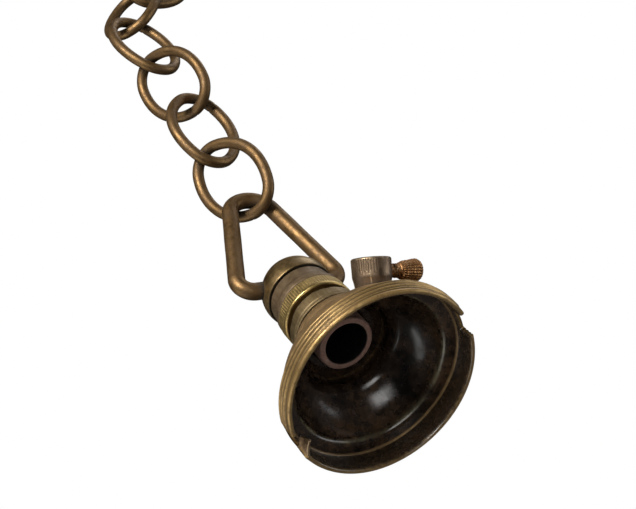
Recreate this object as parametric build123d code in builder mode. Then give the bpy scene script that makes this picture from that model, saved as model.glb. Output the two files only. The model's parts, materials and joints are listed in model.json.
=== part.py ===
from build123d import *
from math import acos, cos, degrees, radians, sin
import os

# A hanging lampholder cap on a wire-link chain. Millimetres, +Z up along the cap's axis.
# The origin is the centre of the cap's open rim. The clamp pillar stands towards -Y.

# Lamp nipple, M10 x 1: the tube that everything on the cap's axis is threaded on
nipple_r = 5.0
nipple_bore_r = 3.8
nipple_low_z = 13.0
nipple_top_z = 30.6
nipple_chamfer = 0.25
seat_gap = 0.02             # between faces that sit on each other in one body
running_gap = 0.05          # radial clearance of everything that turns or slides
edge_break = 0.2            # of turned edges

# Cap shell: a spun bell with a short threaded skirt
skirt_r = 16.4              # root of the skirt's thread
thread_crest_r = 16.95
thread_pitch = 0.78
thread_ridges = 4
first_ridge_z = 0.45
ridge_root_share = 0.8      # of the pitch, as is the crest's share
ridge_crest_share = 0.24
ridge_sink = 0.2            # into the skirt, so that each ridge joins it
skirt_height = 3.5
shell_wall = 0.75
cap_top_z = 17.4
throat_top_z = 16.5         # inside, under the cap's top
notch_width = 5.2
notch_height = 3.3
notch_azimuth = -38.0
notch_cut = 4.0             # radial length of the notch's cutter, well through the skirt
# The bell's curves from the skirt up, as (radius, height) of each start, middle and end
bell_outer = [(15.8, 4.2), (13.5, 8.3), (9.7, 11.3)]
throat_outer = [(9.7, 11.3), (8.9, 12.2), (8.6, 13.4)]
crown_outer = [(8.6, 13.4), (8.1, 15.8), (6.4, cap_top_z)]
crown_inner = [(6.1, throat_top_z), (7.4, 15.4), (7.85, 13.3)]
throat_inner = [(7.85, 13.3), (8.2, 11.8), (9.1, 10.8)]
bell_inner = [(9.1, 10.8), (11.9, 8.3), (13.3, 5.6)]
ledge_inner = [(13.3, 5.6), (13.8, 4.5), (14.8, 4.1)]
ledge_lip_z = 3.6           # where the skirt's bore ends
ledge_lip = 0.3

# Entry bush: a stepped collar on the cap, with a thin neck under the lock ring
bush_r = 6.85
bush_foot_r = 7.2
bush_foot_height = 0.75
bush_top_z = 20.6
bush_neck_r = 5.85
bush_neck_top_z = 21.95
bush_step_depth = 0.25      # of the step above the foot
bush_step_height = 0.3

# Lock ring
ring_r = 6.75
ring_low_z = 22.0
ring_top_z = 25.2
ring_chamfer = 0.3

# Hub: a flared base under a ball that takes the bail
hub_low_z = 25.25
hub_base_r = 6.6
hub_base_height = 1.2
hub_flare_height = 1.0
hub_waist_r = 6.05
hub_groove_z = 29.9
hub_groove_r = 5.75
hub_groove_half = 0.3
hub_room = 0.4              # over the nipple's end, inside the hub
ball_r = 6.5
pivot_z = 33.5
ball_centre_z = 31.5
flex_hole_r = 2.4

# Bail: a bent wire loop with a rounded top
bail_wire_r = 1.6
bail_azimuth = -5.5         # direction of its pivot, from +X
bail_lean = 16.6            # from upright, towards -Y
bail_height = 24.0          # pivot to the middle of the wire at the crown
bail_crown_r = 4.6
bail_corner_r = 2.6
bail_leg_lean = 17.0        # each leg's slope towards the crown
bail_end_x = 3.0            # how close the wire ends come to the hub's axis
socket_room = 0.2           # past the wire's end

# Clamp pillar and its cross screw
pillar_slope = 33.0         # of the pillar's axis above level
pillar_top_y = -16.1
pillar_top_z = 12.2
pillar_length = 6.2
pillar_r = 2.85
pillar_head_r = 3.25
pillar_head_length = 3.1
pillar_groove = 0.3         # under the head
pillar_groove_depth = 0.2
wire_hole_r = 1.6
wire_hole_depth = 4.2
screw_depth = 2.1           # of the screw's axis under the pillar's top
screw_r = 1.05
screw_tip_x = 1.65          # flush with the wire hole's wall
screw_neck_x = 5.3
screw_head_r = 1.7
screw_head_flare_r = 1.95
screw_head_length = 3.8
screw_head_break = 0.3
screw_flare_start = 0.6     # share of the head's length
screw_tip_chamfer = 0.25

# Chain: oval wire links, each threaded through the one below
link_half_length = 9.8      # middle of the wire, as are the other link radii
link_half_width = 6.9
link_end_r = 5.0
link_wire_r = 1.15
link_gap = 0.12
bail_gap = 0.45             # the first link hangs a little slack in the bail
# How each link lies, from the bottom one up, in degrees: its lean towards +X and towards -Y, the
# azimuth of its flat side, and the lean towards +X and -Y of the line across the two wires where
# it touches the link below
link_poses = [
    (-18, 3, 16.5, 27.5, 25),
    (6, 21, 98.5, 28.5, -1),
    (-21, -4.5, 8, 16, 17),
    (-6, 14.5, 95.5, 32.5, 18.5),
    (15.5, 8, 41, 12, 1.5),
    (50, 17, 118, 48, 18),
    (24, 12, 36, 38, 15),
    (6, 10, 128, 14, 12),
    (-2, 9, 48, 2, 9),
    (2, 11, 138, 0, 10),
    (-2, 9, 50, 0, 10),
    (2, 10, 140, 0, 9),
]

skirt_inner_r = skirt_r - shell_wall
ridge_root_half = thread_pitch * ridge_root_share / 2
ridge_crest_half = thread_pitch * ridge_crest_share / 2
link_side_r = ((link_half_length - link_end_r) ** 2 + link_half_width**2 - link_end_r**2) / (
    2 * (link_half_width - link_end_r)
)

os.makedirs("parts", exist_ok=True)


# ---------------------------------------------------------------- cap shell
with BuildPart() as cap_shell:
    with BuildSketch(Plane.XZ):
        with BuildLine():
            Polyline((skirt_inner_r, 0), (skirt_r, 0), (skirt_r, skirt_height), bell_outer[0])
            ThreePointArc(*bell_outer)
            ThreePointArc(*throat_outer)
            ThreePointArc(*crown_outer)
            Polyline(crown_outer[2], (nipple_r, cap_top_z), (nipple_r, throat_top_z), crown_inner[0])
            ThreePointArc(*crown_inner)
            ThreePointArc(*throat_inner)
            ThreePointArc(*bell_inner)
            ThreePointArc(*ledge_inner)
            Polyline(
                ledge_inner[2],
                (skirt_inner_r - ledge_lip, ledge_lip_z + ledge_lip),
                (skirt_inner_r, ledge_lip_z),
                (skirt_inner_r, 0),
            )
        make_face()
    revolve(axis=Axis.Z)
    with BuildSketch(Plane.XZ):
        for ridge in range(thread_ridges):
            ridge_z = first_ridge_z + ridge * thread_pitch
            Polygon(
                (skirt_r - ridge_sink, ridge_z - ridge_root_half),
                (skirt_r, ridge_z - ridge_root_half),
                (thread_crest_r, ridge_z - ridge_crest_half),
                (thread_crest_r, ridge_z + ridge_crest_half),
                (skirt_r, ridge_z + ridge_root_half),
                (skirt_r - ridge_sink, ridge_z + ridge_root_half),
                align=None,
            )
    revolve(axis=Axis.Z)
    with BuildSketch(Plane.XY):
        with PolarLocations(skirt_r, 2, start_angle=notch_azimuth):
            Rectangle(notch_cut, notch_width)
    extrude(amount=notch_height, mode=Mode.SUBTRACT)
cap_shell.part.label = "cap_shell"
export_step(cap_shell.part, "parts/cap_shell.step")

# ---------------------------------------------------------------- nipple
with BuildPart() as nipple:
    with BuildSketch(Plane.XY.offset(nipple_low_z)):
        Circle(nipple_r)
        Circle(nipple_bore_r, mode=Mode.SUBTRACT)
    extrude(amount=nipple_top_z - nipple_low_z)
    chamfer(nipple.edges().filter_by(GeomType.CIRCLE).group_by(SortBy.RADIUS)[-1], nipple_chamfer)
nipple.part.label = "nipple"
export_step(nipple.part, "parts/nipple.step")

# ---------------------------------------------------------------- entry bush
with BuildPart() as entry_bush:
    foot_z = cap_top_z + seat_gap
    shoulder_z = foot_z + bush_foot_height
    with BuildSketch(Plane.XZ):
        Polygon(
            (nipple_r + seat_gap, foot_z),
            (bush_foot_r, foot_z),
            (bush_foot_r, shoulder_z - edge_break),
            (bush_foot_r - edge_break, shoulder_z),
            (bush_r - bush_step_depth, shoulder_z),
            (bush_r - bush_step_depth, shoulder_z + bush_step_height),
            (bush_r, shoulder_z + bush_step_height + bush_step_depth),
            (bush_r, bush_top_z - edge_break),
            (bush_r - edge_break, bush_top_z),
            (bush_neck_r, bush_top_z),
            (bush_neck_r, bush_neck_top_z),
            (nipple_r + seat_gap, bush_neck_top_z),
            align=None,
        )
    revolve(axis=Axis.Z)
entry_bush.part.label = "entry_bush"
export_step(entry_bush.part, "parts/entry_bush.step")

# ---------------------------------------------------------------- lock ring
with BuildPart() as lock_ring:
    with BuildSketch(Plane.XY.offset(ring_low_z)):
        Circle(ring_r)
        Circle(nipple_r + running_gap, mode=Mode.SUBTRACT)
    extrude(amount=ring_top_z - ring_low_z)
    chamfer(lock_ring.edges().filter_by(GeomType.CIRCLE).group_by(SortBy.RADIUS)[-1], ring_chamfer)
lock_ring.part.label = "lock_ring"
export_step(lock_ring.part, "parts/lock_ring.step")

# ---------------------------------------------------------------- hub
pivot_direction = Vector(1, 0, 0).rotate(Axis.Z, bail_azimuth)
pivot_point = Vector(0, 0, pivot_z)
ball_foot_r = (ball_r**2 - (ball_centre_z - hub_groove_z - hub_groove_half) ** 2) ** 0.5
ball_foot = (ball_foot_r, hub_groove_z + hub_groove_half)
flex_hole_top_z = ball_centre_z + (ball_r**2 - flex_hole_r**2) ** 0.5

with BuildPart() as hub:
    with BuildSketch(Plane.XZ):
        with BuildLine():
            Polyline(
                (nipple_r + running_gap, hub_low_z),
                (hub_base_r - edge_break, hub_low_z),
                (hub_base_r, hub_low_z + edge_break),
                (hub_base_r, hub_low_z + hub_base_height),
                (hub_waist_r, hub_low_z + hub_base_height + hub_flare_height),
                (hub_waist_r, hub_groove_z - hub_groove_half),
                (hub_groove_r, hub_groove_z),
                ball_foot,
            )
            ThreePointArc(ball_foot, (ball_r, ball_centre_z), (flex_hole_r, flex_hole_top_z))
            Polyline(
                (flex_hole_r, flex_hole_top_z),
                (flex_hole_r, nipple_top_z + hub_room),
                (nipple_r + running_gap, nipple_top_z + hub_room),
                (nipple_r + running_gap, hub_low_z),
            )
        make_face()
    revolve(axis=Axis.Z)
    for side in (1, -1):
        with BuildSketch(Plane(pivot_point, z_dir=pivot_direction * side).offset(bail_end_x - socket_room)):
            Circle(bail_wire_r + running_gap)
        extrude(amount=ball_r, mode=Mode.SUBTRACT)
hub.part.label = "hub"
export_step(hub.part, "parts/hub.step")

# ---------------------------------------------------------------- bail
bail_up = Vector(0, 0, 1).rotate(Axis.X, bail_lean).rotate(Axis.Z, bail_azimuth)
bail_plane = Plane(pivot_point, x_dir=pivot_direction, z_dir=pivot_direction.cross(bail_up))
leg_cos = cos(radians(bail_leg_lean))
leg_sin = sin(radians(bail_leg_lean))
leg_rise = bail_height - bail_crown_r * (1 - leg_sin) - bail_corner_r * (1 + leg_sin)

with BuildPart() as bail:
    with BuildLine(bail_plane) as bail_line:
        crown_half = JernArc((0, bail_height), (-1, 0), bail_crown_r, 90 - bail_leg_lean)
        leg = Line(crown_half @ 1, crown_half @ 1 + (crown_half % 1) * (leg_rise / leg_cos))
        corner = JernArc(leg @ 1, leg % 1, bail_corner_r, 90 + bail_leg_lean)
        Line(corner @ 1, pivot_point - pivot_direction * bail_end_x)
    with BuildSketch(Plane(crown_half @ 0, z_dir=crown_half % 0)):
        Circle(bail_wire_r)
    sweep(path=bail_line.wire())
    mirror(about=Plane(pivot_point, z_dir=pivot_direction))
bail.part.label = "bail"
export_step(bail.part, "parts/bail.step")

# ---------------------------------------------------------------- clamp pillar
pillar_axis = Vector(0, -cos(radians(pillar_slope)), sin(radians(pillar_slope)))
pillar_top = Vector(0, pillar_top_y, pillar_top_z)
pillar_plane = Plane(pillar_top, x_dir=(1, 0, 0), z_dir=pillar_axis)
screw_point = pillar_top - pillar_axis * screw_depth
screw_plane = Plane(screw_point, x_dir=(0, 1, 0), z_dir=(1, 0, 0))

with BuildPart() as cap_envelope:
    with BuildSketch(Plane.XZ):
        with BuildLine():
            Polyline((0, 0), (skirt_r, 0), (skirt_r, skirt_height), bell_outer[0])
            ThreePointArc(*bell_outer)
            Polyline(bell_outer[2], (0, bell_outer[2][1]), (0, 0))
        make_face()
    revolve(axis=Axis.Z)

with BuildPart() as clamp_pillar:
    with BuildSketch(pillar_plane.offset(-pillar_length)):
        Circle(pillar_r)
    extrude(amount=pillar_length - pillar_head_length - pillar_groove)
    with BuildSketch(pillar_plane.offset(-pillar_head_length - pillar_groove)):
        Circle(pillar_r - pillar_groove_depth)
    extrude(amount=pillar_groove)
    with BuildSketch(pillar_plane.offset(-pillar_head_length)):
        Circle(pillar_head_r)
    extrude(amount=pillar_head_length)
    chamfer(clamp_pillar.edges().filter_by(GeomType.CIRCLE).group_by(SortBy.RADIUS)[-1], edge_break)
    with BuildSketch(pillar_plane):
        Circle(wire_hole_r)
    extrude(amount=-wire_hole_depth, mode=Mode.SUBTRACT)
    with BuildSketch(screw_plane):
        Circle(screw_r + running_gap)
    extrude(amount=screw_neck_x, mode=Mode.SUBTRACT)
    add(cap_envelope.part, mode=Mode.SUBTRACT)
clamp_pillar.part.label = "clamp_pillar"
export_step(clamp_pillar.part, "parts/clamp_pillar.step")

# ---------------------------------------------------------------- clamp screw
with BuildPart() as clamp_screw:
    with BuildSketch(screw_plane.offset(screw_tip_x)):
        Circle(screw_r)
    extrude(amount=screw_neck_x - screw_tip_x)
    chamfer(clamp_screw.faces().sort_by(Axis.X)[0].edges(), screw_tip_chamfer)
    head_plane = Plane(screw_point + Vector(screw_neck_x, 0, 0), x_dir=(1, 0, 0), z_dir=(0, -1, 0))
    with BuildSketch(head_plane):
        with BuildLine():
            Polyline(
                (0, 0),
                (0, screw_head_r - screw_head_break),
                (screw_head_break, screw_head_r),
                (screw_head_length * screw_flare_start, screw_head_r),
                (screw_head_length - screw_head_break, screw_head_flare_r),
                (screw_head_length, screw_head_flare_r - screw_head_break),
                (screw_head_length, 0),
                close=True,
            )
        make_face()
    revolve(axis=Axis(screw_point, (1, 0, 0)))
clamp_screw.part.label = "clamp_screw"
export_step(clamp_screw.part, "parts/clamp_screw.step")


# ---------------------------------------------------------------- chain links
def leaning(lean_x, lean_y):
    """Upright, leant towards +X and towards -Y."""
    return Vector(0, 0, 1).rotate(Axis.X, lean_y).rotate(Axis.Y, lean_x)


def flat_normal(long_axis, azimuth):
    """The normal of a link's flat side that looks towards this azimuth."""
    flat = Vector(1, 0, 0).rotate(Axis.Z, azimuth)
    return (flat - long_axis * flat.dot(long_axis)).normalized()


def reach(normal, pull):
    """The direction within a wire loop's plane in which it is pulled."""
    return (pull - normal * pull.dot(normal)).normalized()


def link_planes():
    """The plane of each link, with its long axis as x. Each hangs on the crown of the one below."""
    planes = []
    crown_centre = pivot_point + bail_up * (bail_height - bail_crown_r)
    crown_r = bail_crown_r
    below_normal = pivot_direction.cross(bail_up)
    wire_space = bail_wire_r + link_wire_r + bail_gap
    for lean_x, lean_y, azimuth, pull_x, pull_y in link_poses:
        long_axis = leaning(lean_x, lean_y)
        normal = flat_normal(long_axis, azimuth)
        pull = leaning(pull_x, pull_y)
        contact = crown_centre + reach(below_normal, pull) * crown_r
        near_wire = contact - pull * wire_space
        near_centre = near_wire + reach(normal, pull) * link_end_r
        middle = near_centre + long_axis * (link_half_length - link_end_r)
        planes.append(Plane(middle, x_dir=long_axis, z_dir=normal))
        crown_centre = middle + long_axis * (link_half_length - link_end_r)
        crown_r = link_end_r
        below_normal = normal
        wire_space = 2 * link_wire_r + link_gap
    return planes


end_centre = link_half_length - link_end_r
side_centre = link_side_r - link_half_width
end_angle = degrees(acos(end_centre / (link_side_r - link_end_r)))

for number, plane in enumerate(link_planes(), start=1):
    with BuildPart() as chain_link:
        with BuildLine(plane) as link_line:
            CenterArc((end_centre, 0), link_end_r, -end_angle, 2 * end_angle)
            CenterArc((0, -side_centre), link_side_r, end_angle, 180 - 2 * end_angle)
            CenterArc((-end_centre, 0), link_end_r, 180 - end_angle, 2 * end_angle)
            CenterArc((0, side_centre), link_side_r, 180 + end_angle, 180 - 2 * end_angle)
        with BuildSketch(Plane(link_line.wire() @ 0, z_dir=link_line.wire() % 0)):
            Circle(link_wire_r)
        sweep(path=link_line.wire())
    name = f"chain_link_{number}"
    chain_link.part.label = name
    export_step(chain_link.part, f"parts/{name}.step")
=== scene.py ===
import json
import math

import bmesh
import bpy
import numpy as np
from mathutils import Matrix, Vector


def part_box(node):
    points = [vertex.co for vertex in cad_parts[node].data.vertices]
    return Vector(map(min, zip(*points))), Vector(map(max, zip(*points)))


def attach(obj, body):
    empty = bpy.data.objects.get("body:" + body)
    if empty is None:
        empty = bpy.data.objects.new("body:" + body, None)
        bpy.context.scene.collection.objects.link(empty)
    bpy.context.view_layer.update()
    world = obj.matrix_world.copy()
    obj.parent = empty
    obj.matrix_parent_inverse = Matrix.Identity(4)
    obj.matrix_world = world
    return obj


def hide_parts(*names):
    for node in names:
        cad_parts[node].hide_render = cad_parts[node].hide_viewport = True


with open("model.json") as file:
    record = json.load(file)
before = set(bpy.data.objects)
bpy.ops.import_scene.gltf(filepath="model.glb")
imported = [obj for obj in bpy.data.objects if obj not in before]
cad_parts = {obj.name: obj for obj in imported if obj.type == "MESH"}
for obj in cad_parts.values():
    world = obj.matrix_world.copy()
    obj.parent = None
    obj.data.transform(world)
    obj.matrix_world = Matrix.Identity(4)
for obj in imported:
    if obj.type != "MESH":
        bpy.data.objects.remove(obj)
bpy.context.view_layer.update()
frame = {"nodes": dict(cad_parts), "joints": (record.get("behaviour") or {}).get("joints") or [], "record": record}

MM = 0.001
JOINTS = {joint["name"]: joint for joint in frame["joints"]}
MOUNTS = {mount["name"]: mount for mount in frame["record"]["mounts"]}
LINK_COUNT = sum(name.startswith("chain_link_") for name in frame["nodes"])


# ------------------------------------------------------------------ measuring the frame
def cad_points(node):
    """The vertices of a CAD node, in millimetres."""
    return np.array([vertex.co for vertex in frame["nodes"][node].data.vertices]) / MM


def span(node, direction):
    """How far a CAD node reaches along a direction from the origin: lowest and highest, in millimetres."""
    along = cad_points(node) @ np.array(direction)
    return along.min(), along.max()


def radius_of(node):
    """The largest distance of a CAD node from the cap's axis, in millimetres."""
    return np.hypot(*cad_points(node)[:, :2].T).max()


def heights_of(node):
    """The lowest and highest z of a CAD node, in millimetres."""
    return span(node, (0, 0, 1))


# ------------------------------------------------------------------ sizes that several functions share
CAP_TOP = heights_of("cap_shell")[1]
THREAD_CREST = radius_of("cap_shell")
THREAD_ROOT = THREAD_CREST - 0.32
THREAD_PITCH = 0.78
THREAD_LOW = 0.85                 # the rim below it is a plain rounded lip
THREAD_HIGH = 3.5
SKIRT_INSIDE = 15.85
LEDGE_HEIGHT = 4.0                # inside, where the skirt's bore meets the bell
STEP_RADIUS = 13.55               # inside, the corner between the bell and its ledge
NOTCH_AZIMUTH = -38.0
NOTCH_RADIUS = 16.4               # of the middle of a notch's cutter
NOTCH_SIDES = (4.0, 5.2, 6.6)     # through the skirt, along it, and twice its depth
# The bell's curves from the skirt up and back down inside: (radius, height) of each start, middle and end
OUTER_CURVES = [
    [(15.8, 4.15), (13.5, 8.3), (9.7, 11.3)],
    [(9.7, 11.3), (8.9, 12.2), (8.6, 13.4)],
    [(8.6, 13.4), (8.1, 15.8), (6.4, CAP_TOP)],
]
THROAT_HEIGHT = 16.5
INNER_CURVES = [
    [(6.1, THROAT_HEIGHT), (7.4, 15.4), (7.85, 13.3)],
    [(7.85, 13.3), (8.2, 11.8), (9.1, 10.8)],
    [(9.1, 10.8), (11.9, 8.3), (13.3, 5.6)],
]
# The middle of the shell's wall as (height, radius), from the rim up
WALL_MIDDLE = [
    (0, 16.3), (3.6, 16.2), (4.3, 15.3), (5.5, 14.6), (7.2, 13.4), (9.2, 11.7), (11.2, 9.35), (13.4, 8.25),
    (15.4, 7.6), (CAP_TOP, 6.2),
]
NIPPLE_RADIUS = radius_of("nipple")
NIPPLE_BORE = MOUNTS["nipple_bore"]["dims"]["r_mm"]
TURNING_BORE = NIPPLE_RADIUS + 0.05     # of what turns on the nipple
MILLING_TEETH = 84
MILLING_DEPTH = 0.11
HUB_GROOVE = 29.9                 # height of the line under the hub's ball


# ------------------------------------------------------------------ outlines
def sample(points, step):
    """Points along an open line of corners, about one step apart."""
    points = np.array(points, float)
    out = []
    for start, end in zip(points[:-1], points[1:]):
        count = max(1, round(np.linalg.norm(end - start) / step))
        out.extend(start + (end - start) * k / count for k in range(count))
    out.append(points[-1])
    return out


def arc(start, middle, end, count=24):
    """Points on the arc through three points."""
    (ax, ay), (bx, by), (cx, cy) = start, middle, end
    d = 2 * (ax * (by - cy) + bx * (cy - ay) + cx * (ay - by))
    a2, b2, c2 = ax**2 + ay**2, bx**2 + by**2, cx**2 + cy**2
    ux = (a2 * (by - cy) + b2 * (cy - ay) + c2 * (ay - by)) / d
    uy = (a2 * (cx - bx) + b2 * (ax - cx) + c2 * (bx - ax)) / d
    radius = math.hypot(ax - ux, ay - uy)
    first, mid, last = (math.atan2(y - uy, x - ux) for x, y in (start, middle, end))
    sweep = (last - first) % math.tau
    if (mid - first) % math.tau > sweep:
        sweep -= math.tau
    angles = [first + sweep * k / count for k in range(count + 1)]
    return [(ux + radius * math.cos(angle), uy + radius * math.sin(angle)) for angle in angles]


def closed_outline(parts, passes=4):
    """Joins sampled parts into one closed outline, without repeats, and rounds its corners a little."""
    points = [np.array(point, float) for part in parts for point in part]
    kept = [points[0]]
    for point in points[1:]:
        if np.linalg.norm(point - kept[-1]) > 0.01:
            kept.append(point)
    if np.linalg.norm(kept[0] - kept[-1]) <= 0.01:
        kept.pop()
    line = np.array(kept)
    for _ in range(passes):
        line = (np.roll(line, 1, 0) + 2 * line + np.roll(line, -1, 0)) / 4
    return line


def direction(turn):
    """The unit vector at an angle."""
    return np.array([math.cos(turn), math.sin(turn)])


def unit(vectors):
    """A vector, or each row of an array of them, at length 1."""
    return vectors / np.linalg.norm(vectors, axis=-1, keepdims=True)


def smooth_step(x, low, high):
    """0 below low, 1 above high, smooth between."""
    t = np.clip((x - low) / (high - low), 0, 1)
    return t * t * (3 - 2 * t)


# ------------------------------------------------------------------ meshes
def grid_faces(rows, columns, close_rows=True):
    """Quads of a grid of rows x columns vertices. Columns always close; rows close on request."""
    faces = []
    for i in range(rows if close_rows else rows - 1):
        below, above = i * columns, ((i + 1) % rows) * columns
        for j in range(columns):
            k = (j + 1) % columns
            faces.append((below + j, below + k, above + k, above + j))
    return faces


def show(name, data):
    """Puts a mesh, lamp or camera into the scene as an object."""
    thing = bpy.data.objects.new(name, data)
    bpy.context.scene.collection.objects.link(thing)
    return thing


def make_piece(name, vertices, faces, place=None):
    """A smooth-shaded mesh object from vertices in millimetres, moved by the matrix place."""
    mesh = bpy.data.meshes.new(name)
    mesh.from_pydata([tuple(v) for v in vertices], [], faces)
    if place is not None:
        mesh.transform(place)
    mesh.transform(Matrix.Scale(MM, 4))
    work = bmesh.new()
    work.from_mesh(mesh)
    bmesh.ops.recalc_face_normals(work, faces=work.faces)
    work.to_mesh(mesh)
    work.free()
    mesh.shade_smooth()
    return show(name, mesh)


def lathe(name, outline, turns, shape=None, place=None):
    """Turns a closed (radius, height) outline round z. shape(radius, height, angle) may change the radius."""
    angle = np.linspace(0, math.tau, turns, endpoint=False)[:, None]
    radius = np.broadcast_to(outline[:, 0], (turns, len(outline)))
    height = np.broadcast_to(outline[:, 1], (turns, len(outline)))
    if shape is not None:
        radius = shape(radius, height, angle)
    vertices = np.stack([radius * np.cos(angle), radius * np.sin(angle), height], -1).reshape(-1, 3)
    return make_piece(name, vertices, grid_faces(turns, len(outline)), place)


def tube(name, path, side, up, wire_radius, closed, sections=28):
    """A wire along path, with its radius at each point. side and up are unit vectors across it there."""
    angle = np.linspace(0, math.tau, sections, endpoint=False)
    ring = np.cos(angle)[None, :, None] * side[:, None, :] + np.sin(angle)[None, :, None] * up[:, None, :]
    vertices = (path[:, None, :] + ring * wire_radius[:, None, None]).reshape(-1, 3)
    faces = grid_faces(len(path), sections, close_rows=closed)
    if not closed:
        faces.append(tuple(range(sections)))
        faces.append(tuple(range(len(vertices) - 1, len(vertices) - 1 - sections, -1)))
    return make_piece(name, vertices, faces)


def cut(piece, cutters):
    """Takes the cutters' solids out of the piece and deletes the cutters."""
    for cutter in cutters:
        modifier = piece.modifiers.new("cut", "BOOLEAN")
        modifier.operation = "DIFFERENCE"
        modifier.solver = "EXACT"
        modifier.object = cutter
    bpy.context.view_layer.update()
    result = bpy.data.meshes.new_from_object(piece.evaluated_get(bpy.context.evaluated_depsgraph_get()))
    piece.modifiers.clear()
    piece.data = result
    for cutter in cutters:
        bpy.data.objects.remove(cutter)


def block(name, sides, place):
    """A bevelled block of the given sides, in millimetres, as a cutter."""
    work = bmesh.new()
    bmesh.ops.create_cube(work, size=1)
    bmesh.ops.scale(work, vec=sides, verts=work.verts)
    bmesh.ops.bevel(work, geom=work.edges[:], offset=0.25, segments=3, affect="EDGES")
    mesh = bpy.data.meshes.new(name)
    work.to_mesh(mesh)
    work.free()
    mesh.transform(place)
    mesh.transform(Matrix.Scale(MM, 4))
    return show(name, mesh)


def axis_matrix(origin, z_axis, x_axis=(1, 0, 0)):
    """The matrix that carries z onto z_axis and the origin onto origin."""
    z = Vector(z_axis).normalized()
    x = (Vector(x_axis) - z * z.dot(Vector(x_axis))).normalized()
    rotation = Matrix((x, z.cross(x), z)).transposed().to_4x4()
    return Matrix.Translation(Vector(origin)) @ rotation


def finish_piece(piece, node, body, material):
    """Stands a piece for its CAD node, on the node's body, with the given material."""
    piece.data.materials.clear()
    piece.data.materials.append(material)
    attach(piece, body)
    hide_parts(node)


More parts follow.
